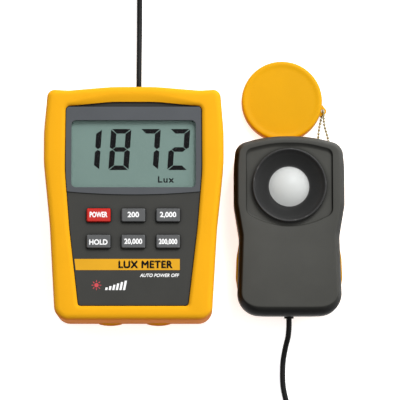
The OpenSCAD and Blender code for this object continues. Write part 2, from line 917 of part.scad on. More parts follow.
lie_z = cord_d / 2 + 0.05;
cord_x = meter_x + gland_x;
coil_x = cord_x + 23;
coil_y = 142;
coil_z0 = 0.8;
coil_half = 7.2;
coil_h = 2 * cord_d + 0.2;
coil_exit_y = coil_y + 23.7;
meter_route = [
    [cord_x, meter_y + hl + gland_proud, gland_z], [cord_x, 63, 10.8], [cord_x, 73, 8.2],
    [cord_x, 83, 4.6], [cord_x, 93, 2.2], [cord_x, 103, lie_z], [cord_x, 113, lie_z],
    [cord_x, 123, lie_z], [cord_x, 129, lie_z]
];
head_route = [
    [coil_x + 2, coil_exit_y, 4.4], [coil_x + 12, coil_exit_y, 3.2], [coil_x + 24, 165.6, lie_z],
    [36, 164, lie_z], [56, 159.5, lie_z], [76, 151.5, lie_z], [95, 140, lie_z],
    [110, 123, lie_z], [117, 103, lie_z], [118, 82, lie_z], [118, 56, lie_z],
    [118, 28, lie_z], [118, 0, lie_z], [118, -28, lie_z], [118, -56, lie_z],
    [118.5, -82, lie_z], [118, -104, lie_z], [112, -120, lie_z], [99, -129, lie_z],
    [82, -131.5, lie_z], [65, -129, lie_z], [53, -120.5, lie_z], [48.5, -108, lie_z],
    [48, -95, lie_z], [49.2, -86, 3.6], [50.8, -79, 6.6], [head_x, -73.5, 7.9],
    [head_x, head_y - sl - gland_proud - 0.15, head_gland_z]
];

// The points no lower than where the cord lies on the surface
function laid(p) = [for (q = p) [q[0], q[1], max(q[2], lie_z)]];

module sensor_cord_meter_run() {
    color(black)
        tube(laid(smooth(meter_route, 8)), cord_d, 8);
}

module sensor_cord_head_run() {
    color(black)
        tube(laid(smooth(head_route, 8)), cord_d, 8);
}

module sensor_cord_coil() {
    chamfer = 1.4;
    color(black)
        translate([coil_x, coil_y, coil_z0])
            rotate_extrude($fn = 96)
                translate([coil_r, 0])
                    polygon([
                        [-coil_half, chamfer], [chamfer - coil_half, 0], [coil_half - chamfer, 0],
                        [coil_half, chamfer], [coil_half, coil_h - chamfer],
                        [coil_half - chamfer, coil_h], [chamfer - coil_half, coil_h],
                        [-coil_half, coil_h - chamfer]
                    ]);
}

module cord_tie() {
    tie_t = 0.6;
    half = coil_half + 0.3;
    tie_w = 4;
    top = coil_z0 + coil_h + 0.1;
    color("#303030")
        translate([coil_x + coil_r, coil_y, 0])
            difference() {
                box(-half - tie_t, half + tie_t, -tie_w / 2, tie_w / 2, coil_z0 - 0.1 - tie_t, top + tie_t);
                box(-half, half, -tie_w, tie_w, coil_z0 - 0.1, top);
            }
}

holster();
front_case();
rear_case();
lcd_bezel();
lcd_window();
label_strip();
lcd_panel();
lcd_holder();
zebra_strips();
main_pcb();
pcb_screws();
tact_switches();
control_chip();
capacitors();
trimmers();
key(0, "#e0332b");  // button_power
key(1, grey);  // button_200
key(2, grey);  // button_2000
key(3, grey);  // button_hold
key(4, grey);  // button_20000
key(5, grey);  // button_200000
battery();
battery_clip();
battery_leads();
battery_door();
tilt_stand();
cord_gland();
case_screws();
head_front();
head_rear();
sensor_bowl();
diffuser_dome();
filter_holder();
photopic_filter();
photodiode();
sensor_pcb();
head_screws();
head_gland();
chain_pin();
ball_chain();
chain_coupling();
dust_cap();
sensor_cord_meter_run();
sensor_cord_coil();
sensor_cord_head_run();
cord_tie();
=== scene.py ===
"""Looks of a hand-held light meter with its wired sensor head, dust cap and cord.

Shapes are worked out in millimetres and put into the scene in metres."""
import math

import bmesh
import bpy
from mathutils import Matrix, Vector


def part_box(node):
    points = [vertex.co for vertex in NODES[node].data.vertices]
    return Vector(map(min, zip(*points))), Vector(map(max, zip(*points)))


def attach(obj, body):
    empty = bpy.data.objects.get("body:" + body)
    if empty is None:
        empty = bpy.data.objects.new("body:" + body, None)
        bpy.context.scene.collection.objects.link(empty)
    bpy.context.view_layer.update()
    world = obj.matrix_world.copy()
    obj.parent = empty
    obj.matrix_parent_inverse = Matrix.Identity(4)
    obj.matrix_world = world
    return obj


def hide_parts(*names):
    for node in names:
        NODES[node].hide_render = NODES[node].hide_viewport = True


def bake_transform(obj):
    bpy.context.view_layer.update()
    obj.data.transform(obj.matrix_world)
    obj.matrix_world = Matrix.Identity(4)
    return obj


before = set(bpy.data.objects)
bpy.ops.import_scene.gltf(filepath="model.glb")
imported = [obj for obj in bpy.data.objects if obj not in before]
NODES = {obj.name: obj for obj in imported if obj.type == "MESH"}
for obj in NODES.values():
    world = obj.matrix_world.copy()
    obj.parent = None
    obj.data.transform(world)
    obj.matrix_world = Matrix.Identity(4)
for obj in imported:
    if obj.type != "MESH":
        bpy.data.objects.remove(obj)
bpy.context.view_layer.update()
scene = bpy.context.scene

MM = 0.001


def box_mm(node):
    """The node's lowest and highest corners in millimetres."""
    low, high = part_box(node)
    return low / MM, high / MM


# Boxes and heights of the CAD nodes that the pieces are fitted to.
HOLSTER_LOW, HOLSTER_HIGH = box_mm("holster")
HEAD_LOW, HEAD_HIGH = box_mm("head_front")
CAP_LOW, CAP_HIGH = box_mm("dust_cap")
PANEL_Z = box_mm("front_case")[1].z
GLASS_Z = box_mm("lcd_panel")[1].z
LABEL_Z = box_mm("label_strip")[1].z
KEY_Z = box_mm("button_power")[1].z
HEAD_SPLIT = HEAD_LOW.z

# How far the holster's feet stand out of its lower end.
FOOT = 0.9

# The meter and the head: half widths in x, half lengths in y, middles and heights.
METER_HALF_X = (HOLSTER_HIGH.x - HOLSTER_LOW.x) / 2
METER_HALF_Y = (HOLSTER_HIGH.y - HOLSTER_LOW.y - FOOT) / 2
METER = Vector((HOLSTER_LOW.x + METER_HALF_X, HOLSTER_HIGH.y - METER_HALF_Y, 0))
RIM_Z = HOLSTER_HIGH.z
HEAD_HALF_X = (HEAD_HIGH.x - HEAD_LOW.x) / 2
HEAD_HALF_Y = (HEAD_HIGH.y - HEAD_LOW.y) / 2
HEAD = Vector((HEAD_LOW.x + HEAD_HALF_X, HEAD_LOW.y + HEAD_HALF_Y, 0))
HEAD_Z = HEAD_HIGH.z

# The dome, its bowl and the cap, with the hole of the cap's tab.
DOME_UP = 21.4
DOME = HEAD + Vector((0, DOME_UP, 0))
BOWL_R = 20.0
DOME_R = 10.75
BOWL_HOLE = 10.95
CAP_R = 22.2
CAP = Vector((CAP_LOW.x + CAP_R, CAP_HIGH.y - CAP_R, 0))
TAB = Vector((70.6, 45.5, 2.1))


# ---- camera: nearly straight above, tilted a little towards the lower edge

VIEW_WIDTH = 220.0
VIEW_DISTANCE = 1400.0
VIEW_TILT = math.radians(7)
VIEW_TARGET = Vector((2.9, -3.4, 0))


def make_camera():
    data = bpy.data.cameras.new("camera")
    data.sensor_width = 36
    data.lens = data.sensor_width / VIEW_WIDTH * VIEW_DISTANCE
    camera = bpy.data.objects.new("camera", data)
    back = Vector((0, -math.sin(VIEW_TILT), math.cos(VIEW_TILT)))
    camera.location = (VIEW_TARGET + back * VIEW_DISTANCE) * MM
    camera.rotation_euler = (VIEW_TILT, 0, 0)
    scene.collection.objects.link(camera)
    scene.camera = camera


make_camera()
scene.view_settings.view_transform = "Standard"


# ---- materials

# How much brighter than its base colour a level surface looks under this scene's light.
LIGHT_GAIN = 1.32


def tint(code, gain=1.0):
    """The linear base colour that looks like this sRGB colour under the scene's light."""
    seen = [int(code[i:i + 2], 16) / 255 for i in (1, 3, 5)]
    linear = [c / 12.92 if c < 0.04045 else ((c + 0.055) / 1.055) ** 2.4 for c in seen]
    return [min(1.0, c * gain / LIGHT_GAIN) for c in linear] + [1.0]


def shaded(colour, factor):
    """The colour made darker or brighter."""
    return [min(1.0, c * factor) for c in colour[:3]] + [1.0]


# Painted shade reaches this far out of a corner, in millimetres, and darkens it to this share of the
# colour.
CORNER_SHADE_REACH = 2.6
CORNER_SHADE_TONE = 0.12
# How much each part of a surface's direction counts in the painted shade of walls.
LIGHT_FACING_WEIGHTS = Vector((0.2, 0.42, 0.88))


class Surface:
    """A node material with one Principled shader, and short calls for its parts."""

    def __init__(self, name):
        self.material = bpy.data.materials.new(name)
        self.material.use_nodes = True
        self.tree = self.material.node_tree
        self.tree.nodes.clear()
        self.shader = self.add("ShaderNodeBsdfPrincipled")
        out = self.add("ShaderNodeOutputMaterial")
        self.join(self.shader.outputs["BSDF"], out.inputs["Surface"])
        self.place = self.add("ShaderNodeTexCoord").outputs["Object"]

    def add(self, kind):
        return self.tree.nodes.new(kind)

    def join(self, a, b):
        self.tree.links.new(a, b)

    def noise(self, scale, detail=3.0):
        n = self.add("ShaderNodeTexNoise")
        n.inputs["Scale"].default_value = scale
        n.inputs["Detail"].default_value = detail
        n.inputs["Roughness"].default_value = 0.55
        self.join(self.place, n.inputs["Vector"])
        return n.outputs["Fac"]

    def spread(self, source, low, high, start=0.3, end=0.7):
        n = self.add("ShaderNodeMapRange")
        n.inputs["From Min"].default_value = start
        n.inputs["From Max"].default_value = end
        n.inputs["To Min"].default_value = low
        n.inputs["To Max"].default_value = high
        self.join(source, n.inputs["Value"])
        return n.outputs["Result"]

    def mix(self, factor, a, b):
        n = self.add("ShaderNodeMix")
        n.data_type = "RGBA"
        self.join(factor, n.inputs["Factor"])
        for socket, value in ((n.inputs[6], a), (n.inputs[7], b)):
            if isinstance(value, list):
                socket.default_value = value
            else:
                self.join(value, socket)
        return n.outputs[2]

    def light_facing(self):
        """How much light the surface would catch from its direction, for painted shade: up or down
        counts, raised on walls that face the upper right.
        """
        split = self.add("ShaderNodeSeparateXYZ")
        self.join(self.add("ShaderNodeTexCoord").outputs["Normal"], split.inputs["Vector"])
        level = self.math("ABSOLUTE", split.outputs["Z"])
        level = self.math("MULTIPLY", level, LIGHT_FACING_WEIGHTS.z)
        level = self.math("ADD", level, self.math("MULTIPLY", split.outputs["Y"], LIGHT_FACING_WEIGHTS.y))
        return self.math("ADD", level, self.math("MULTIPLY", split.outputs["X"], LIGHT_FACING_WEIGHTS.x))

    def math(self, operation, a, b=None):
        n = self.add("ShaderNodeMath")
        n.operation = operation
        self.join(a, n.inputs[0])
        if isinstance(b, (int, float)):
            n.inputs[1].default_value = b
        elif b is not None:
            self.join(b, n.inputs[1])
        return n.outputs[0]

    def bump(self, source, depth, strength=0.5, before=None):
        n = self.add("ShaderNodeBump")
        n.inputs["Strength"].default_value = strength
        n.inputs["Distance"].default_value = depth * MM
        self.join(source, n.inputs["Height"])
        if before is not None:
            self.join(before, n.inputs["Normal"])
        return n.outputs["Normal"]

    def set(self, **values):
        for name, value in values.items():
            self.shader.inputs[name.replace("_", " ")].default_value = value


def moulded(name, colour, rough=0.5, tone=0.05, grain=0.02, grain_scale=1800, wear_and_highlight=0.0,
            specular=0.5, wear_and_highlight_to=1.5, sides=None, wall_shade_range=(0.3, 0.8), corner_shade=0.0):
    """Moulded plastic or rubber: a faint mottle, a fine spark-eroded grain and paler edges, partly
    wear and partly painted highlight.

    The walls can take a darker colour as painted shade, fully where they face the lower end.
    Painted shade darkens the corners near another surface, within the reach set above."""
    s = Surface(name)
    s.set(Specular_IOR_Level=specular)
    base = s.mix(s.spread(s.noise(45), 0, 1), shaded(colour, 1 - tone), shaded(colour, 1 + tone))
    # Paler sharp edges: partly wear, partly a painted highlight.
    if wear_and_highlight:
        edges = s.add("ShaderNodeNewGeometry").outputs["Pointiness"]
        base = s.mix(s.spread(edges, 0, wear_and_highlight, 0.5, 0.58), base, shaded(colour, wear_and_highlight_to))
    # Painted shade: walls turned away from the light take the darker sides colour.
    if sides:
        base = s.mix(s.spread(s.light_facing(), 0, 1, *wall_shade_range), sides, base)
    # Painted shade in corners, from ambient occlusion.
    if corner_shade:
        corner = s.add("ShaderNodeAmbientOcclusion")
        corner.samples = 8
        corner.inputs["Distance"].default_value = CORNER_SHADE_REACH * MM
        open_air = s.spread(corner.outputs["AO"], corner_shade, 0, 0.35, 0.95)
        base = s.mix(open_air, base, shaded(colour, CORNER_SHADE_TONE))
    s.join(base, s.shader.inputs["Base Color"])
    s.join(s.spread(s.noise(260), rough - 0.05, rough + 0.06), s.shader.inputs["Roughness"])
    broad = s.bump(s.noise(120, 2), grain * 1.5, 0.25)
    s.join(s.bump(s.noise(grain_scale, 2), grain, 0.5, broad), s.shader.inputs["Normal"])
    return s


def metal(name, colour, rough):
    """Polished metal with fine scratches and a duller bloom in patches."""
    scratch = 500
    s = Surface(name)
    s.set(Metallic=1.0)
    base = s.mix(s.spread(s.noise(300), 0, 1), shaded(colour, 0.8), colour)
    s.join(base, s.shader.inputs["Base Color"])
    s.join(s.spread(s.noise(scratch, 5), rough - 0.1, rough + 0.15), s.shader.inputs["Roughness"])
    s.join(s.bump(s.noise(scratch * 4, 3), 0.01), s.shader.inputs["Normal"])
    return s


def case_plastic(name, colour):
    """The case's dark plastic, made near black by painted shade on its walls and in its corners."""
    return moulded(
        name, colour, 0.5, 0.07, 0.03, wear_and_highlight=0.05, specular=0.16,
        sides=tint("#080808"), wall_shade_range=(0.36, 0.84), corner_shade=1.0)


def circuit_board(name, colour):
    """Green solder mask over square-cornered copper tracks."""
    s = moulded(name, colour, 0.35, 0.1)
    tracks = s.add("ShaderNodeTexBrick")
    s.join(s.place, tracks.inputs["Vector"])
    tracks.inputs["Scale"].default_value = 130
    tracks.inputs["Mortar Size"].default_value = 0.03
    tracks.inputs["Color1"].default_value = shaded(colour, 1.0)
    tracks.inputs["Color2"].default_value = shaded(colour, 0.8)
    tracks.inputs["Mortar"].default_value = shaded(colour, 1.9)
    s.join(tracks.outputs["Color"], s.shader.inputs["Base Color"])
    return s


# The paler ends of the display start and are full this far from its middle.
GLASS_ENDS = (30.5, 32.5)


def display_glass(name, colour):
    """The display's grey-green face, a little paler towards its two ends."""
    s = Surface(name)
    split = s.add("ShaderNodeSeparateXYZ")
    s.join(s.place, split.inputs["Vector"])
    side = s.math("ABSOLUTE", s.math("SUBTRACT", split.outputs["X"], METER.x * MM))
    ends = s.spread(side, 0, 1, GLASS_ENDS[0] * MM, GLASS_ENDS[1] * MM)
    face = s.mix(s.spread(s.noise(30), 0, 1), shaded(colour, 0.97), shaded(colour, 1.03))
    s.join(s.mix(ends, face, shaded(colour, 1.09)), s.shader.inputs["Base Color"])
    s.join(s.spread(s.noise(200), 0.42, 0.5), s.shader.inputs["Roughness"])
    s.join(s.bump(s.noise(3000), 0.004), s.shader.inputs["Normal"])
    return s


def clear_plastic(name, colour, alpha):
    """A thin clear sheet, tinted as much as its alpha says."""
    s = Surface(name)
    s.set(Base_Color=colour, Alpha=alpha, IOR=1.45)
    s.join(s.spread(s.noise(150), 0.08, 0.16), s.shader.inputs["Roughness"])
    s.join(s.bump(s.noise(900), 0.004, 0.2), s.shader.inputs["Normal"])
    return s


def opal(name, colour):
    """Milky plastic: light spreads inside it, and a painted glow brightens all of it a little."""
    s = moulded(name, colour, 0.42, 0.012, 0.006, specular=0.3)
    s.set(Subsurface_Weight=0.6, Subsurface_Radius=(0.006, 0.006, 0.006), Subsurface_Scale=1.0)
    # The emission is a painted glow: the dome is no lamp.
    s.set(Emission_Color=(0.95, 0.96, 0.94, 1), Emission_Strength=0.34)
    return s


MATERIALS = {
    # Each sides colour below is painted shade on the walls turned away from the light.
    "holster_rubber": moulded(
        "holster_rubber", tint("#fcb41c"), 0.6, 0.02, 0.012, wear_and_highlight=0.12, specular=0.03,
        sides=tint("#d67808"), wall_shade_range=(-0.1, 0.45)),
    "yellow_plastic": moulded(
        "yellow_plastic", tint("#e8a900"), 0.5, 0.03, 0.01, wear_and_highlight=0.2, specular=0.1,
        sides=tint("#c88200"), wall_shade_range=(0.0, 0.6)),
    "dark_plastic": case_plastic("dark_plastic", tint("#484844")),
    "panel_plastic": case_plastic("panel_plastic", tint("#3f3f3c")),
    # Strong paler edges paint a highlight ring on the bowl's lip.
    "black_plastic": moulded(
        "black_plastic", tint("#222222"), 0.45, 0.1, 0.015, wear_and_highlight=1.0, specular=0.25, wear_and_highlight_to=5),
    "bezel_plastic": moulded(
        "bezel_plastic", tint("#54575b"), 0.4, 0.05, 0.012, wear_and_highlight=0.1, specular=0.2),
    "key_grey": moulded(
        "key_grey", tint("#555657"), 0.42, 0.06, 0.03, wear_and_highlight=0.7, specular=0.35, wear_and_highlight_to=2.2,
        sides=tint("#2a2a2b"), wall_shade_range=(0.1, 0.6)),
    "key_red": moulded(
        "key_red", tint("#c92218"), 0.42, 0.05, 0.02, wear_and_highlight=0.6, specular=0.3, wear_and_highlight_to=1.6,
        sides=tint("#8c120c"), wall_shade_range=(0.1, 0.6)),
    "clear_window": clear_plastic("clear_window", tint("#202423"), 0.03),
    "lcd_glass": display_glass("lcd_glass", tint("#76928a")),
    "white_plastic": moulded("white_plastic", tint("#e6e6e0"), 0.5),
    "opal_plastic": opal("opal_plastic", tint("#a9abaa")),
    "filter_glass": clear_plastic("filter_glass", tint("#5fae6a"), 0.7),
    "board": circuit_board("board", tint("#1f6b3a")),
    "blue_plastic": moulded("blue_plastic", tint("#2b5fb4"), 0.4),
    "label": moulded("label", tint("#eeb02a"), 0.5, 0.05, 0.02, specular=0.05),
    "battery_wrap": moulded("battery_wrap", tint("#33359c"), 0.35, 0.08),
    "wire": moulded("wire", tint("#b02020"), 0.45),
    "zebra": moulded("zebra", tint("#d99aa8"), 0.6),
    "steel": metal("steel", tint("#c4c6c8"), 0.3),
    "ball_chain": metal("ball_chain", tint("#b9b08a"), 0.28),
    "black_rubber": moulded(
        "black_rubber", tint("#141414"), 0.5, 0.12, 0.03, 900, specular=0.15, sides=tint("#060606")),
}
PRINT = {
    "ink": moulded("display_ink", tint("#161618"), 0.6, 0.06, 0.004, specular=0.05),
    "white": moulded("white_print", tint("#ffffff", 1.1), 0.55, 0.02, 0.006),
    "black": moulded("black_print", tint("#0c0a06"), 0.55, 0.1, 0.006, specular=0.1),
    "red": moulded("red_print", tint("#d8404a"), 0.5, 0.05, 0.006),
}


# ---- outlines: each vertex is [x, y, corner radius], the right half from the top down

# The largest angle between points of an arc, and the points round a moulding's outline.
ARC_STEP = math.radians(3)
OUTLINE_COUNT = 760


def mirrored(half):
    """The whole outline from its right half."""
    return half + [[-x, y, r] for x, y, r in reversed(half)]


METER_OUTLINE = mirrored([
    [12, METER_HALF_Y, 90],
    [0.73 * METER_HALF_X, METER_HALF_Y - 2, 25],
    [METER_HALF_X - 1.9, METER_HALF_Y - 1.3, 4.2],
    [METER_HALF_X, 38, 60],
    [METER_HALF_X, 22, 50],
    [METER_HALF_X - 3.5, -12, 100],
    [METER_HALF_X - 6.5, -METER_HALF_Y, 7.8],
])
PANEL_OUTLINE = mirrored([
    [12, METER_HALF_Y - 8.6, 70],
    [36.7, METER_HALF_Y - 11, 2.6],
    [36.9, 17, 80],
    [34.4, -14, 60],
    [29.5, -METER_HALF_Y + 7.5, 1.6],
])
HEAD_OUTLINE = mirrored([
    [12, HEAD_HALF_Y, 75],
    [HEAD_HALF_X - 1.1, HEAD_HALF_Y - 4.7, 7.6],
    [HEAD_HALF_X, 32, 60],
    [HEAD_HALF_X, 11, 12],
    [HEAD_HALF_X - 2.9, -6, 18],
    [HEAD_HALF_X - 1.5, -HEAD_HALF_Y + 0.9, 12],
    [14, -HEAD_HALF_Y, 70],
])
PLATE_OUTLINE = mirrored([
    [9, HEAD_HALF_Y - 4.3, 60],
    [23.5, HEAD_HALF_Y - 8, 4],
    [23.5, 5.8, 5],
    [14.5, 1.4, 30],
    [5, -1.1, 35],
])


def ways(v, i):
    """Unit directions into and out of vertex i."""
    here = Vector(v[i][:2])
    before = Vector(v[i - 1][:2])
    after = Vector(v[(i + 1) % len(v)][:2])
    return (here - before).normalized(), (after - here).normalized()


def inset(v, d):
    """The outline moved inward by d, its arcs kept concentric."""
    out = []
    for i, (x, y, r) in enumerate(v):
        a, b = ways(v, i)
        na, nb = Vector((-a.y, a.x)), Vector((-b.y, b.x))
        p = Vector((x, y)) - (na + nb) * (d / (1 + na.dot(nb)))
        convex = a.x * b.y - a.y * b.x < 0
        out.append([p.x, p.y, max(r - d, 0.3) if convex else r + d])
    return out


def rounded(v):
    """The outline as points, each corner an arc of its radius."""
    points = []
    for i, (x, y, r) in enumerate(v):
        a, b = ways(v, i)
        side = -1 if a.x * b.y - a.y * b.x < 0 else 1
        bend = math.acos(min(1, a.dot(b)))
        n = max(1, math.ceil(bend / ARC_STEP))
        normal = Vector((-a.y, a.x)) * side
        centre = Vector((x, y)) - a * (r * math.tan(bend / 2)) + normal * r
        for k in range(n + 1):
            w = side * bend * k / n
            turned = Vector((
                normal.x * math.cos(w) - normal.y * math.sin(w),
                normal.x * math.sin(w) + normal.y * math.cos(w),
            ))
            points.append(centre - turned * r)
    return points


def even_angles(points, centre, count):
    """Angles, seen from the centre, of points spaced evenly along the closed outline."""
    n = len(points)
    lengths = [(points[(i + 1) % n] - points[i]).length for i in range(n)]
    step = sum(lengths) / count
    angles = []
    i, passed = 0, 0.0
    for k in range(count):
        while passed + lengths[i] < k * step and i < n - 1:
            passed += lengths[i]
            i += 1
        t = (k * step - passed) / max(lengths[i], 1e-9)
        p = points[i].lerp(points[(i + 1) % n], t) - centre
        angles.append(math.atan2(p.y, p.x))
    return angles


def seen_from(points, centre, angles):
    """Where rays at these angles from the centre meet the closed outline."""
    n = len(points)
    shifted = [p - centre for p in points]
    out = []
    for a in angles:
        ray = Vector((math.cos(a), math.sin(a)))
        best = None
        for i in range(n):
            p, q = shifted[i], shifted[(i + 1) % n]
            edge = q - p
            cross = ray.x * edge.y - ray.y * edge.x
            if abs(cross) < 1e-12:
                continue
            t = (p.x * edge.y - p.y * edge.x) / cross
            u = (p.x * ray.y - p.y * ray.x) / cross
            if t > 0 and -1e-9 <= u <= 1 + 1e-9 and (best is None or t > best):
                best = t
        out.append(centre + ray * best)
    return out


# ---- meshes

SHARP = math.radians(38)


def add_piece(name, points, faces, material, body, replaces=()):
    """A mesh piece from points in millimetres, riding on a body."""
    mesh = bpy.data.meshes.new(name)
    mesh.from_pydata([Vector(p) * MM for p in points], [], faces)
    build = bmesh.new()
    build.from_mesh(mesh)
    bmesh.ops.remove_doubles(build, verts=build.verts, dist=0.0005 * MM)
    bmesh.ops.recalc_face_normals(build, faces=build.faces)
    for face in build.faces:
        face.smooth = True
    for edge in build.edges:
        edge.smooth = edge.is_manifold and edge.calc_face_angle(0) < SHARP
    build.to_mesh(mesh)
    build.free()
    piece = bpy.data.objects.new(name, mesh)
    scene.collection.objects.link(piece)
    finish_piece(piece, material, body, replaces)
    return piece


def finish_piece(piece, material, body, replaces=()):
    """Gives a piece its material, its body and the CAD nodes that it stands for."""
    if material in MATERIALS:
        piece.data.materials.append(MATERIALS[material].material)
    else:
        piece.data.materials.append(PRINT[material].material)
    if body:
        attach(piece, body)
    if replaces:
        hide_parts(*replaces)


def joined_rings(rings, closed=False):
    """Quads between rings of equal length; a closed set also joins the last to the first."""
    n = len(rings[0])
    points = [p for ring in rings for p in ring]
    faces = []
    for j in range(len(rings) if closed else len(rings) - 1):
        a, b = j * n, (j + 1) % len(rings) * n
        faces += [[a + i, a + (i + 1) % n, b + (i + 1) % n, b + i] for i in range(n)]
    return points, faces


def capped(points, faces, n):
    """Closes the first and the last ring of n points with a face each."""
    return points, faces + [list(range(n)), list(range(len(points) - n, len(points)))]


def stacked(outline, profile, place, centre, angles, lift=None):
    """One ring for each (distance in from the outline, height) of the profile.

    The rings lie round a place, and each has one point for each angle from the centre.
    lift says how far a point is moved in y, from the point, its distance in and its height."""
    rings = []
    for d, z in profile:
        ring = []
        for p in seen_from(rounded(inset(outline, d)), centre, angles):
            ring.append((place.x + p.x, place.y + p.y + (lift(p, d, z) if lift else 0), z))
        rings.append(ring)
    return rings


def lathed(profile, centre, count, closed=True):
    """The profile of (radius, z) turned about the vertical through the centre."""
    rings = []
    for r, z in profile:
        turn = [2 * math.pi * i / count for i in range(count)]
        rings.append([(centre.x + r * math.cos(w), centre.y + r * math.sin(w), z) for w in turn])
    return joined_rings(rings, closed)


def merged(*parts):
    """Several (points, faces) pairs as one."""
    points, faces = [], []
    for p, f in parts:
        shift = len(points)
        points += p
        faces += [[i + shift for i in face] for face in f]
    return points, faces


def arc(x, z, r, start, end, count):
    """Points of an arc in a profile, angles in degrees."""
    steps = [math.radians(start + (end - start) * i / count) for i in range(count + 1)]
    return [(x + r * math.cos(w), z + r * math.sin(w)) for w in steps]


# ---- the cord, one length from the meter's gland through the coil to the head

CORD_D = 3.0
CORD_GAP = 0.05
LIE_Z = CORD_D / 2 + CORD_GAP
CORD_STEP = 1.6
CORD_SIDES = 14
GLAND_LOW, GLAND_HIGH = box_mm("cord_gland")
HEAD_GLAND_Y = box_mm("head_gland")[0].y
CORD_X = (GLAND_LOW.x + GLAND_HIGH.x) / 2
COIL = Vector((CORD_X + 23, 142, 0))
COIL_INNER = 11.0
TURNS_IN = 4
TURNS_OUT = 4.25
TURN_STEPS = 24
TIE_THICK = 0.8
LAYER_LOW = TIE_THICK + CORD_D / 2 + CORD_GAP
LAYER_HIGH = LAYER_LOW + CORD_D + CORD_GAP
EXIT_Y = COIL.y + COIL_INNER + TURNS_OUT * CORD_D

METER_ROUTE = [
    (CORD_X, GLAND_HIGH.y, 11), (CORD_X, 63, 10.8), (CORD_X, 73, 8.2), (CORD_X, 83, 4.6),
    (CORD_X, 93, 2.2), (CORD_X, 103, LIE_Z), (CORD_X, 113, LIE_Z), (CORD_X, 123, LIE_Z),
    (CORD_X, 131, 1.8),
]
HEAD_ROUTE = [
    (COIL.x + 5, EXIT_Y, LAYER_HIGH - 0.1), (COIL.x + 10, EXIT_Y, 4.1), (COIL.x + 16, EXIT_Y, 2.6),
    (COIL.x + 24, 165.6, LIE_Z), (36, 164, LIE_Z), (56, 159.5, LIE_Z), (76, 151.5, LIE_Z),
    (95, 140, LIE_Z), (110, 123, LIE_Z), (117, 103, LIE_Z), (118, 82, LIE_Z), (118, 56, LIE_Z),
    (118, 28, LIE_Z), (118, 0, LIE_Z), (118, -28, LIE_Z), (118, -56, LIE_Z), (118.5, -82, LIE_Z),
    (118, -104, LIE_Z), (112, -120, LIE_Z), (99, -129, LIE_Z), (82, -131.5, LIE_Z),
    (65, -129, LIE_Z), (53, -120.5, LIE_Z), (48.5, -108, LIE_Z), (48, -95, LIE_Z),
    (49.2, -86, 3.6), (50.8, -79, 6.6), (HEAD.x, -73.5, 7.9), (HEAD.x, HEAD_GLAND_Y, 8),
]


def coil_turns():
    """Four turns in along the table, up one layer, and four and a quarter turns out on top."""
    points = []
    for k in range(TURNS_IN * TURN_STEPS):
        turn = k / TURN_STEPS
        w = math.pi - 2 * math.pi * turn
        r = COIL_INNER + (TURNS_IN - turn) * CORD_D
        climb = max(0.0, turn - (TURNS_IN - 0.25)) / 0.25
        z = LAYER_LOW + (LAYER_HIGH - LAYER_LOW) * climb * climb * (3 - 2 * climb)
        points.append((COIL.x + r * math.cos(w), COIL.y + r * math.sin(w), z))
    for k in range(int(TURNS_OUT * TURN_STEPS) + 1):
        turn = k / TURN_STEPS
        w = math.pi - 2 * math.pi * turn
        r = COIL_INNER + turn * CORD_D
        points.append((COIL.x + r * math.cos(w), COIL.y + r * math.sin(w), LAYER_HIGH))
    return points


def smooth_line(points, step):
    """A Catmull-Rom curve through the points, sampled about every step."""
    p = [Vector(q) for q in points]
    out = []
    for i in range(len(p) - 1):
        a, b, c, d = p[max(i - 1, 0)], p[i], p[i + 1], p[min(i + 2, len(p) - 1)]
        n = max(1, round((c - b).length / step))
        for k in range(n):
            t = k / n
            near = 2 * b + (c - a) * t + (2 * a - 5 * b + 4 * c - d) * t * t
            out.append((near + (3 * b - a - 3 * c + d) * t * t * t) / 2)
    return out + [p[-1]]


def swept(line, radius, sides):
    """A round tube along a line, its frame carried without twist."""
    rings = []
    up = Vector((0, 0, 1))
    for i, p in enumerate(line):
        along = (line[min(i + 1, len(line) - 1)] - line[max(i - 1, 0)]).normalized()
        up = (up - along * up.dot(along)).normalized()
        side = along.cross(up)
        ring = []
        for k in range(sides):
            w = 2 * math.pi * k / sides
            ring.append(p + radius * (math.cos(w) * side + math.sin(w) * up))
        rings.append(ring)
    return capped(*joined_rings(rings), sides)


def make_cord():
    line = smooth_line(METER_ROUTE + coil_turns() + HEAD_ROUTE, CORD_STEP)
    for p in line:
        p.z = max(p.z, LIE_Z)
    points, faces = swept(line, CORD_D / 2, CORD_SIDES)
    names = ["sensor_cord_meter_run", "sensor_cord_coil", "sensor_cord_head_run"]
    cord = add_piece("sensor_cord", points, faces, "black_rubber", None, names)
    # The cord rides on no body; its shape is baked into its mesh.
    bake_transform(cord)


make_cord()


# ---- CAD nodes that are shown as they are, with softened edges

CREASE = math.radians(35)
WELD_REACH = 0.002


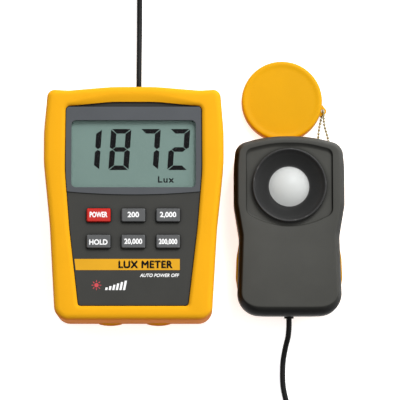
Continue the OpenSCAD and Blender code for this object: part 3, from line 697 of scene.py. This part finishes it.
def smoothing_group():
    """Smooth shading with edges sharper than the crease angle kept sharp, as geometry nodes."""
    group = bpy.data.node_groups.new("smooth_by_angle", "GeometryNodeTree")
    group.interface.new_socket("Geometry", in_out="INPUT", socket_type="NodeSocketGeometry")
    group.interface.new_socket("Geometry", in_out="OUTPUT", socket_type="NodeSocketGeometry")
    start = group.nodes.new("NodeGroupInput")
    end = group.nodes.new("NodeGroupOutput")
    drop = group.nodes.new("GeometryNodeRemoveAttribute")
    drop.inputs["Name"].default_value = "custom_normal"
    faces = group.nodes.new("GeometryNodeSetShadeSmooth")
    edges = group.nodes.new("GeometryNodeSetShadeSmooth")
    edges.domain = "EDGE"
    angle = group.nodes.new("GeometryNodeInputMeshEdgeAngle")
    flat = group.nodes.new("FunctionNodeCompare")
    flat.operation = "LESS_THAN"
    flat.inputs[1].default_value = CREASE
    join = group.links.new
    join(start.outputs[0], drop.inputs["Geometry"])
    join(drop.outputs["Geometry"], faces.inputs["Geometry"])
    join(faces.outputs["Geometry"], edges.inputs["Geometry"])
    join(angle.outputs["Unsigned Angle"], flat.inputs[0])
    join(flat.outputs["Result"], edges.inputs["Shade Smooth"])
    join(edges.outputs["Geometry"], end.inputs[0])
    return group


SMOOTHING = smoothing_group()


def soften(node, material, bevel):
    """Merges the CAD node's corners, rounds its sharp edges, shades its flat faces flat and
    gives it its material."""
    piece = NODES[node]
    piece.data.materials.clear()
    piece.data.materials.append(MATERIALS[material].material)
    weld = piece.modifiers.new("weld", "WELD")
    weld.merge_threshold = WELD_REACH * MM
    if bevel:
        rounding = piece.modifiers.new("rounding", "BEVEL")
        rounding.width = bevel * MM
        rounding.segments = 2
        rounding.limit_method = "ANGLE"
        rounding.angle_limit = CREASE
        rounding.use_clamp_overlap = True
    smoothing = piece.modifiers.new("smoothing", "NODES")
    smoothing.node_group = SMOOTHING
    flatter = piece.modifiers.new("flatter", "WEIGHTED_NORMAL")
    flatter.keep_sharp = True


# node: (material, edge rounding in millimetres)
SHOWN_NODES = {
    "front_case": ("panel_plastic", 0.2), "rear_case": ("dark_plastic", 0.25),
    "lcd_bezel": ("bezel_plastic", 0.3), "lcd_window": ("clear_window", 0),
    "lcd_panel": ("lcd_glass", 0), "lcd_holder": ("white_plastic", 0.15),
    "zebra_strips": ("zebra", 0), "main_pcb": ("board", 0), "pcb_screws": ("steel", 0.15),
    "tact_switches": ("black_plastic", 0.1), "control_chip": ("black_plastic", 0),
    "capacitors": ("blue_plastic", 0.3), "trimmers": ("blue_plastic", 0.15),
    "label_strip": ("label", 0), "button_power": ("key_red", 0.35),
    "button_200": ("key_grey", 0.35), "button_2000": ("key_grey", 0.35),
    "button_hold": ("key_grey", 0.35), "button_20000": ("key_grey", 0.35),
    "button_200000": ("key_grey", 0.35), "battery": ("battery_wrap", 0.3),
    "battery_clip": ("black_plastic", 0.3), "battery_leads": ("wire", 0),
    "battery_door": ("dark_plastic", 0.2), "tilt_stand": ("dark_plastic", 0.2),
    "cord_gland": ("black_rubber", 0.3), "case_screws": ("steel", 0.12),
    "head_rear": ("yellow_plastic", 0.2), "filter_holder": ("black_plastic", 0.2),
    "photopic_filter": ("filter_glass", 0), "photodiode": ("black_plastic", 0.1),
    "sensor_pcb": ("board", 0), "head_screws": ("steel", 0.12),
    "head_gland": ("black_rubber", 0.3), "chain_pin": ("steel", 0.15),
    "ball_chain": ("ball_chain", 0), "chain_coupling": ("ball_chain", 0.08),
    "cord_tie": ("black_rubber", 0.25),
}
for shown, (finish, bevel) in SHOWN_NODES.items():
    soften(shown, finish, bevel)


# ---- holster

# Profiles are (distance in from the outline, height).
BACK_THICK = 2.2
LIP_Z = RIM_Z - 2.4
HOLSTER_WALL = 3.2
HOLSTER_OUTSIDE = [
    (7, BACK_THICK), (7, 0.5), (6.6, 0.1), (6.1, 0), (3.2, 0), (2.4, 0.25), (1.7, 0.65),
    (1.1, 1.3), (0.6, 2.2), (0.2, 3.7), (0, 5.5), (0, RIM_Z / 2), (0, RIM_Z - 5),
    (0.08, RIM_Z - 3.8), (0.3, RIM_Z - 2.7), (0.65, RIM_Z - 1.75), (1.1, RIM_Z - 1.05),
    (1.6, RIM_Z - 0.6), (2.2, RIM_Z - 0.28), (2.8, RIM_Z - 0.08), (3.4, RIM_Z),
]
WINDOW_EDGE = [
    (-2.2, RIM_Z), (-1.7, RIM_Z - 0.06), (-1.1, RIM_Z - 0.3), (-0.6, RIM_Z - 0.65),
    (-0.2, RIM_Z - 1.0), (0, RIM_Z - 1.3), (0, LIP_Z),
]
HOLSTER_INSIDE = [(HOLSTER_WALL, LIP_Z), (HOLSTER_WALL, BACK_THICK)]
BROW_HALF = 33.0
BROW_RISE = 2.3
BROW_Z = RIM_Z - 1.3
BROW_Y = METER_HALF_Y - 13
FOOT_X = 13.1
FOOT_R = 22.5
FOOT_STEPS = 16
FOOT_ROOT = 2
# A foot's sections as (distance in from its face, height).
FOOT_PROFILE = [(0.8, 1.2), (0.3, 1.4), (0, 2), (0, 8.4), (0.3, 9), (0.8, 9.2)]


def brow(p, _, z):
    """The hollow over the window's upper edge, deepest in the middle."""
    if p.y < BROW_Y or abs(p.x) > BROW_HALF or z < BROW_Z:
        return 0
    return BROW_RISE * (1 - (p.x / BROW_HALF) ** 2) * (z - BROW_Z) / (RIM_Z - BROW_Z)


def foot(x):
    """A low bump on the holster's lower end: part of a drum of radius FOOT_R."""
    rings = []
    for depth, z in FOOT_PROFILE:
        proud = FOOT - depth
        half = math.acos((FOOT_R - proud) / FOOT_R)
        turns = [half * k / FOOT_STEPS for k in range(-FOOT_STEPS, FOOT_STEPS + 1)]
        face = -METER_HALF_Y - proud
        ring = [(x + FOOT_R * math.sin(w), face + FOOT_R * (1 - math.cos(w))) for w in turns]
        ring += [(ring[-1][0], FOOT_ROOT - METER_HALF_Y), (ring[0][0], FOOT_ROOT - METER_HALF_Y)]
        rings.append([(METER.x + p, METER.y + q, z) for p, q in ring])
    return capped(*joined_rings(rings), len(rings[0]))


def make_holster():
    centre = Vector((0, 0))
    angles = even_angles(rounded(METER_OUTLINE), centre, OUTLINE_COUNT)
    shell = joined_rings(
        stacked(METER_OUTLINE, HOLSTER_OUTSIDE, METER, centre, angles)
        + stacked(PANEL_OUTLINE, WINDOW_EDGE, METER, centre, angles, brow)
        + stacked(METER_OUTLINE, HOLSTER_INSIDE, METER, centre, angles),
        closed=True,
    )
    points, faces = merged(shell, foot(-FOOT_X), foot(FOOT_X))
    add_piece("holster_shell", points, faces, "holster_rubber", "meter", ["holster"])


make_holster()


# ---- printing

INK = 0.03
SIGN_INK = 0.05
DIGIT_INK = 0.06
# Where the three copies of a lettering lie, in units of its boldness.
BOLD_COPIES = [(-1, -1), (1, -1), (0, 1.2)]


def add_print(name, polygons, colour, body, z, thick=SIGN_INK):
    """Flat polygons in x and y, millimetres, as thin raised ink."""
    points, faces = [], []
    for outline in polygons:
        n, start = len(outline), len(points)
        points += [(x, y, z + thick) for x, y in outline] + [(x, y, z) for x, y in outline]
        faces.append([start + i for i in range(n)])
        faces.append([start + n + i for i in range(n)])
        faces += [
            [start + i, start + n + i, start + n + (i + 1) % n, start + (i + 1) % n] for i in range(n)
        ]
    add_piece(name, points, faces, colour, body)


def add_lettering(name, text, colour, body, middle, size, z, bold, spacing=1.0, lean=0.0):
    """Text scaled to a width and height, its middle at a place, as thin raised ink.

    Copies of it moved apart by bold, in millimetres, thicken the strokes."""
    curve = bpy.data.curves.new(name, "FONT")
    curve.body = text
    curve.space_character = spacing
    curve.resolution_u = 3
    source = bpy.data.objects.new(name + "_curve", curve)
    scene.collection.objects.link(source)
    bpy.context.view_layer.update()
    mesh = bpy.data.meshes.new_from_object(source)
    bpy.data.objects.remove(source)
    bpy.data.curves.remove(curve)
    xs = [v.co.x for v in mesh.vertices]
    ys = [v.co.y for v in mesh.vertices]
    wide, tall = max(xs) - min(xs), max(ys) - min(ys)
    for v in mesh.vertices:
        y = ((v.co.y - min(ys)) / tall - 0.5) * size[1]
        x = ((v.co.x - min(xs)) / wide - 0.5) * size[0] + lean * y
        v.co = Vector((middle[0] + x, middle[1] + y, z)) * MM
    build = bmesh.new()
    for dx, dy in BOLD_COPIES:
        older = set(build.verts)
        build.from_mesh(mesh)
        for v in build.verts:
            if v not in older:
                v.co += Vector((dx * bold, dy * bold, 0)) * MM
    raised = bmesh.ops.extrude_face_region(build, geom=build.faces[:])["geom"]
    for v in raised:
        if isinstance(v, bmesh.types.BMVert):
            v.co.z += INK * MM
    bmesh.ops.recalc_face_normals(build, faces=build.faces)
    build.to_mesh(mesh)
    build.free()
    piece = bpy.data.objects.new(name, mesh)
    scene.collection.objects.link(piece)
    piece.data = united(piece)
    piece.data.name = name
    finish_piece(piece, colour, body)


def united(piece):
    """The piece's overlapping shells as one, in a new mesh."""
    nothing = bpy.data.objects.new("nothing", bpy.data.meshes.new("nothing"))
    scene.collection.objects.link(nothing)
    union = piece.modifiers.new("union", "BOOLEAN")
    union.operation = "DIFFERENCE"
    union.solver = "EXACT"
    union.use_self = True
    union.object = nothing
    bpy.context.view_layer.update()
    shown = piece.evaluated_get(bpy.context.evaluated_depsgraph_get())
    mesh = bpy.data.meshes.new_from_object(shown)
    piece.modifiers.clear()
    bpy.data.objects.remove(nothing)
    return mesh


# ---- display digits

DIGIT_W = 10.9
DIGIT_H = 22.3
DIGIT_PITCH = 15.85
DIGIT_RIGHT = 29.7
DIGIT_LOW = 17.8
BAR_FLAT = 2.45
BAR_UP = 2.95
SEGMENT_GAP = 0.22
SEGMENT_NOTCH = 1.1
LEAN = 0.065


def segment_shapes():
    """The seven bars of a digit, named a to g in the usual order."""
    w, h, t, u, g = DIGIT_W, DIGIT_H, BAR_FLAT, BAR_UP, SEGMENT_GAP
    mid = h / 2
    top = [(2 * g, h), (w - 2 * g, h), (w - u - g, h - t), (u + g, h - t)]
    right = [
        (w, h - 2 * g), (w, mid + SEGMENT_NOTCH), (w - u / 2, mid + g),
        (w - u, mid + t / 2 + g), (w - u, h - t - g),
    ]
    middle = [
        (u / 2 + g, mid), (u + g, mid + t / 2), (w - u - g, mid + t / 2), (w - u / 2 - g, mid),
        (w - u - g, mid - t / 2), (u + g, mid - t / 2),
    ]

    def turned(shape, flip_x, flip_y):
        return [((w - x if flip_x else x), (h - y if flip_y else y)) for x, y in shape]

    return {
        "a": top, "b": right, "c": turned(right, False, True), "d": turned(top, False, True),
        "e": turned(right, True, True), "f": turned(right, True, False), "g": middle,
    }


LIT_SEGMENTS = {"1": "bc", "8": "abcdefg", "7": "abc", "2": "abged"}


def make_digits(reading):
    shapes = segment_shapes()
    polygons = []
    for place, digit in enumerate(reversed(reading)):
        x0 = METER.x + DIGIT_RIGHT - place * DIGIT_PITCH - DIGIT_W
        y0 = METER.y + DIGIT_LOW
        for name in LIT_SEGMENTS[digit]:
            polygons.append([
                (x0 + x + LEAN * (y - DIGIT_H / 2), y0 + y) for x, y in shapes[name]
            ])
    add_print("display_digits", polygons, "ink", "meter", GLASS_Z, DIGIT_INK)


make_digits("1872")
add_lettering(
    "display_unit", "Lux", "ink", "meter", (METER.x + 17.4, METER.y + 12.7), (8.4, 3.3),
    GLASS_Z, bold=0.13, spacing=1.15)


# ---- keys' legends, panel printing

def key_middle(node):
    low, high = box_mm(node)
    return (low.x + high.x) / 2, (low.y + high.y) / 2


# key: (legend, width, distance above the key's middle)
LEGENDS = {
    "power": ("POWER", 9.3, 0.3),
    "200": ("200", 6.0, 0.3),
    "2000": ("2,000", 8.6, 0.1),
    "hold": ("HOLD", 9.6, -0.3),
    "20000": ("20,000", 9.4, -0.1),
    "200000": ("200,000", 9.7, -0.2),
}
LEGEND_TALL = 2.75
COMMA_TALL = 3.1


def make_legends():
    for key, (legend, wide, up) in LEGENDS.items():
        x, y = key_middle("button_" + key)
        body = ("range_" if key.isdigit() else "") + key + "_key"
        size = (wide, COMMA_TALL if "," in legend else LEGEND_TALL)
        add_lettering("legend_" + key, legend, "white", body, (x, y + up), size, KEY_Z, bold=0.12)


make_legends()
add_lettering(
    "label_words", "LUX METER", "black", "meter", (METER.x + 6.6, METER.y - 33.5), (28.6, 3.7),
    LABEL_Z, bold=0.24, spacing=1.05)
add_lettering(
    "power_words", "AUTO POWER OFF", "white", "meter", (METER.x + 14.1, METER.y - 39.3), (20.6, 1.75),
    PANEL_Z, bold=0.06, lean=0.25)


SUN = Vector((METER.x - 19.6, METER.y - 44.6))
SUN_R = 1.15
SUN_SIDES = 32
RAYS = 8
RAY_ENDS = ((1.65, 0.3), (2.7, 0.12), (2.7, -0.12), (1.65, -0.3))
BARS = 6
BAR_START = (4.6, -2.6)
BAR_PITCH = 1.9
BAR_WIDE = 1.2
BAR_LEAN = 0.2
BAR_SHORTEST = 1.4
BAR_GROWTH = 0.72


def make_sign():
    """A plain sun and a rising row of bars, for the amount of light."""
    turn = [2 * math.pi * i / SUN_SIDES for i in range(SUN_SIDES)]
    sun = [[(SUN.x + SUN_R * math.cos(w), SUN.y + SUN_R * math.sin(w)) for w in turn]]
    for k in range(RAYS):
        w = 2 * math.pi / RAYS * k
        along, side = Vector((math.cos(w), math.sin(w))), Vector((-math.sin(w), math.cos(w)))
        ends = [along * far + side * half for far, half in RAY_ENDS]
        sun.append([(SUN.x + p.x, SUN.y + p.y) for p in ends])
    add_print("sign_sun", sun, "red", "meter", PANEL_Z)
    bars = []
    for k in range(BARS):
        left, foot_y = SUN.x + BAR_START[0] + BAR_PITCH * k, SUN.y + BAR_START[1]
        right = left + BAR_WIDE
        tall = BAR_SHORTEST + BAR_GROWTH * k
        shift, top_y = BAR_LEAN * tall, foot_y + tall
        bars.append([(left, foot_y), (right, foot_y), (right + shift, top_y), (left + shift, top_y)])
    add_print("sign_bars", bars, "white", "meter", PANEL_Z)


make_sign()


# ---- sensor head: front shell, bowl and dome

SHELL_OUTSIDE = [
    (0, HEAD_SPLIT), (0, HEAD_Z - 8), (0, HEAD_Z - 5.2), (0.12, HEAD_Z - 4.2),
    (0.5, HEAD_Z - 3), (1.1, HEAD_Z - 1.85), (1.65, HEAD_Z - 1), (2.1, HEAD_Z - 0.45),
    (2.38, HEAD_Z - 0.17), (2.58, HEAD_Z - 0.04), (2.8, HEAD_Z), (3.4, HEAD_Z),
]
PLATE_Z = HEAD_Z - 1.1
PLATE_EDGE = [
    (-0.3, HEAD_Z), (-0.05, HEAD_Z - 0.06), (0.12, HEAD_Z - 0.3), (0.5, HEAD_Z - 0.85),
    (0.75, HEAD_Z - 1.05), (1.2, PLATE_Z),
]
SHELL_INSIDE = [(5.2, HEAD_Z - 4), (2.2, HEAD_Z - 6.5), (2, HEAD_Z - 8), (2, HEAD_SPLIT)]
END_BLEND = 12.0
END_REACH = 0.85
END_DEPTH = 2.8
TOP_LEAN = 1.1


def eased(t):
    """A smooth step from 0 to 1."""
    t = min(1, max(0, t))
    return t * t * (3 - 2 * t)


def longer_end(p, d, _):
    """How much further in the fillet reaches at the lower end."""
    return END_REACH * min(d, END_DEPTH) * eased((END_BLEND - HEAD_HALF_Y - p.y) / END_BLEND)


def longer_top(p, d, _):
    """How much the recess's wall leans back along its upper edge."""
    return -TOP_LEAN * eased((d + 0.05) / 0.8) * eased((p.y - HEAD_HALF_Y + 16) / 8)


def make_head_front():
    centre = Vector((0, DOME.y - HEAD.y))
    angles = even_angles(rounded(HEAD_OUTLINE), centre, OUTLINE_COUNT)
    bore = []
    for r, z in ((17.45, PLATE_Z), (17.4, HEAD_Z - 4)):
        bore.append([(DOME.x + r * math.cos(a), DOME.y + r * math.sin(a), z) for a in angles])
    points, faces = joined_rings(
        stacked(HEAD_OUTLINE, SHELL_OUTSIDE, HEAD, centre, angles, longer_end)
        + stacked(PLATE_OUTLINE, PLATE_EDGE, HEAD, centre, angles, longer_top)
        + bore
        + stacked(HEAD_OUTLINE, SHELL_INSIDE, HEAD, centre, angles),
        closed=True,
    )
    add_piece("head_shell", points, faces, "dark_plastic", "sensor_head", ["head_front"])


BOWL_DEEP = 5
DOME_RISE = 8.6
DOME_WALL = 1.3
FLANGE = 1.1


def make_bowl():
    bead = 0.5
    low = PLATE_Z
    bead_z = low + 2.6
    profile = [(17.3, low - 0.1), (BOWL_R, low - 0.1), (BOWL_R, bead_z)]
    profile += arc(BOWL_R - bead, bead_z, bead, 0, 190, 11)
    profile += [
        (18.6, low + 2.35), (17.2, low + 0.95), (15.2, low - 1.15), (13.3, low - 2.7),
        (12.2, low - 3.45), (11.4, low - 3.8), (BOWL_HOLE, low - 4.2), (BOWL_HOLE, low - BOWL_DEEP),
        (16, low - BOWL_DEEP), (17.3, low - 3.4),
    ]
    points, faces = lathed(profile, DOME, 192)
    add_piece("bowl", points, faces, "black_plastic", "sensor_head", ["sensor_bowl"])


def make_dome():
    edge_z = PLATE_Z - BOWL_DEEP
    r = (DOME_R ** 2 + DOME_RISE ** 2) / (2 * DOME_RISE)
    centre_z = edge_z + DOME_RISE - r
    edge = math.degrees(math.asin((edge_z - centre_z) / r))
    outer = arc(0, centre_z, r, 90, edge, 28)
    inner = arc(0, centre_z, r - DOME_WALL, edge + 8, 90, 20)
    flange = [
        (DOME_R + 2.5, edge_z), (DOME_R + 2.5, edge_z - FLANGE), (DOME_R - 1.6, edge_z - FLANGE),
    ]
    points, faces = lathed(outer + flange + inner, DOME, 128, False)
    add_piece("dome", points, faces, "opal_plastic", "sensor_head", ["diffuser_dome"])


make_head_front()
make_bowl()
make_dome()


# ---- dust cap

TAB_ROUND = 1.95
TAB_SHOULDER = 1.6
TAB_ROOT = math.radians(68)
TAB_FADE = math.radians(20)
TAB_THICK = 1.2
TAB_COUNT = 96
TAB_EDGE = [(-0.4, 0.0), (0.0, 0.0), (0.0, 0.95), (-0.12, 1.12), (-0.4, TAB_THICK)]
TAB_HOLE = [(1.05, TAB_THICK), (0.95, 1.1), (0.95, 0.1), (1.05, 0.0)]


def tab_reach(turn):
    """How far the tab's edge is from its hole, at an angle from the way to the cap's middle."""
    if abs(turn) < TAB_ROOT:
        return (TAB_ROUND + TAB_SHOULDER) * math.cos(TAB_ROOT) / math.cos(turn)
    return TAB_ROUND + TAB_SHOULDER * math.exp(-((abs(turn) - TAB_ROOT) / TAB_FADE) ** 2)


def tab_mesh():
    towards = math.atan2(CAP.y - TAB.y, CAP.x - TAB.x)
    turns = [2 * math.pi * i / TAB_COUNT for i in range(TAB_COUNT)]
    rings = []
    for out, up in TAB_EDGE:
        ring = []
        for w in turns:
            turn = (w - towards + math.pi) % (2 * math.pi) - math.pi
            r = tab_reach(turn) + out
            ring.append((TAB.x + r * math.cos(w), TAB.y + r * math.sin(w), TAB.z + up))
        rings.append(ring)
    for r, up in TAB_HOLE:
        rings.append([(TAB.x + r * math.cos(w), TAB.y + r * math.sin(w), TAB.z + up) for w in turns])
    return joined_rings(rings, closed=True)


def make_cap():
    high = CAP_HIGH.z
    profile = [
        (0, high - 0.2), (8, high - 0.21), (14, high - 0.24), (17, high - 0.28), (18.2, high - 0.3),
        (19, high - 0.2), (19.7, high - 0.04), (20.2, high), (20.8, high), (21.2, high - 0.12),
        (21.6, high - 0.45), (21.95, high - 0.95), (22.15, high - 1.6), (CAP_R, high - 2.3),
        (CAP_R, 0.3), (CAP_R - 0.25, 0), (CAP_R - 1.5, 0), (CAP_R - 1.7, 0.25),
        (CAP_R - 1.7, high - 2), (CAP_R - 2.1, high - 1.5), (0, high - 1.5),
    ]
    points, faces = merged(lathed(profile, CAP, 192, False), tab_mesh())
    add_piece("cap", points, faces, "yellow_plastic", "dust_cap", ["dust_cap"])


make_cap()


# ---- table and light

TABLE_HALF = 3.0
TABLE_Z = -0.0001
LIGHT_FROM = Vector((0.35, 0.5, 0.8))
LAMPS = (
    # name, place, size, power
    ("softbox", (0.4, 0.75, 0.95), 0.5, 12.0),
    ("strip", (0.9, 0.1, 0.5), 0.4, 1.5),
)


def make_floor():
    half = TABLE_HALF
    mesh = bpy.data.meshes.new("table_top")
    corners = [(-half, -half, 0), (half, -half, 0), (half, half, 0), (-half, half, 0)]
    mesh.from_pydata(corners, [], [[0, 1, 2, 3]])
    table = bpy.data.objects.new("table_top", mesh)
    table.location.z = TABLE_Z
    scene.collection.objects.link(table)
    paper = moulded("table_paper", [0.8, 0.8, 0.8, 1], 0.7, 0.004, 0.01, specular=0.1)
    paper.set(Emission_Color=(1, 1, 1, 1), Emission_Strength=0.68)
    mesh.materials.append(paper.material)


def make_sky():
    """A studio that is bright overhead and to the upper right, darker towards the lower left."""
    world = bpy.data.worlds.new("studio")
    world.use_nodes = True
    tree = world.node_tree
    place = tree.nodes.new("ShaderNodeTexCoord")
    along = tree.nodes.new("ShaderNodeVectorMath")
    along.operation = "DOT_PRODUCT"
    along.inputs[1].default_value = LIGHT_FROM.normalized()
    level = tree.nodes.new("ShaderNodeMapRange")
    for socket, value in (("From Min", -0.2), ("From Max", 0.9), ("To Min", 0.05), ("To Max", 1.1)):
        level.inputs[socket].default_value = value
    tree.links.new(place.outputs["Generated"], along.inputs[0])
    tree.links.new(along.outputs["Value"], level.inputs["Value"])
    tree.links.new(level.outputs["Result"], tree.nodes["Background"].inputs["Color"])
    scene.world = world


def make_lamps():
    for name, place, size, power in LAMPS:
        data = bpy.data.lights.new(name, "AREA")
        data.size = size
        data.energy = power
        lamp = bpy.data.objects.new(name, data)
        lamp.location = place
        lamp.rotation_euler = (-Vector(place)).to_track_quat("-Z", "Y").to_euler()
        scene.collection.objects.link(lamp)


make_floor()
make_sky()
make_lamps()
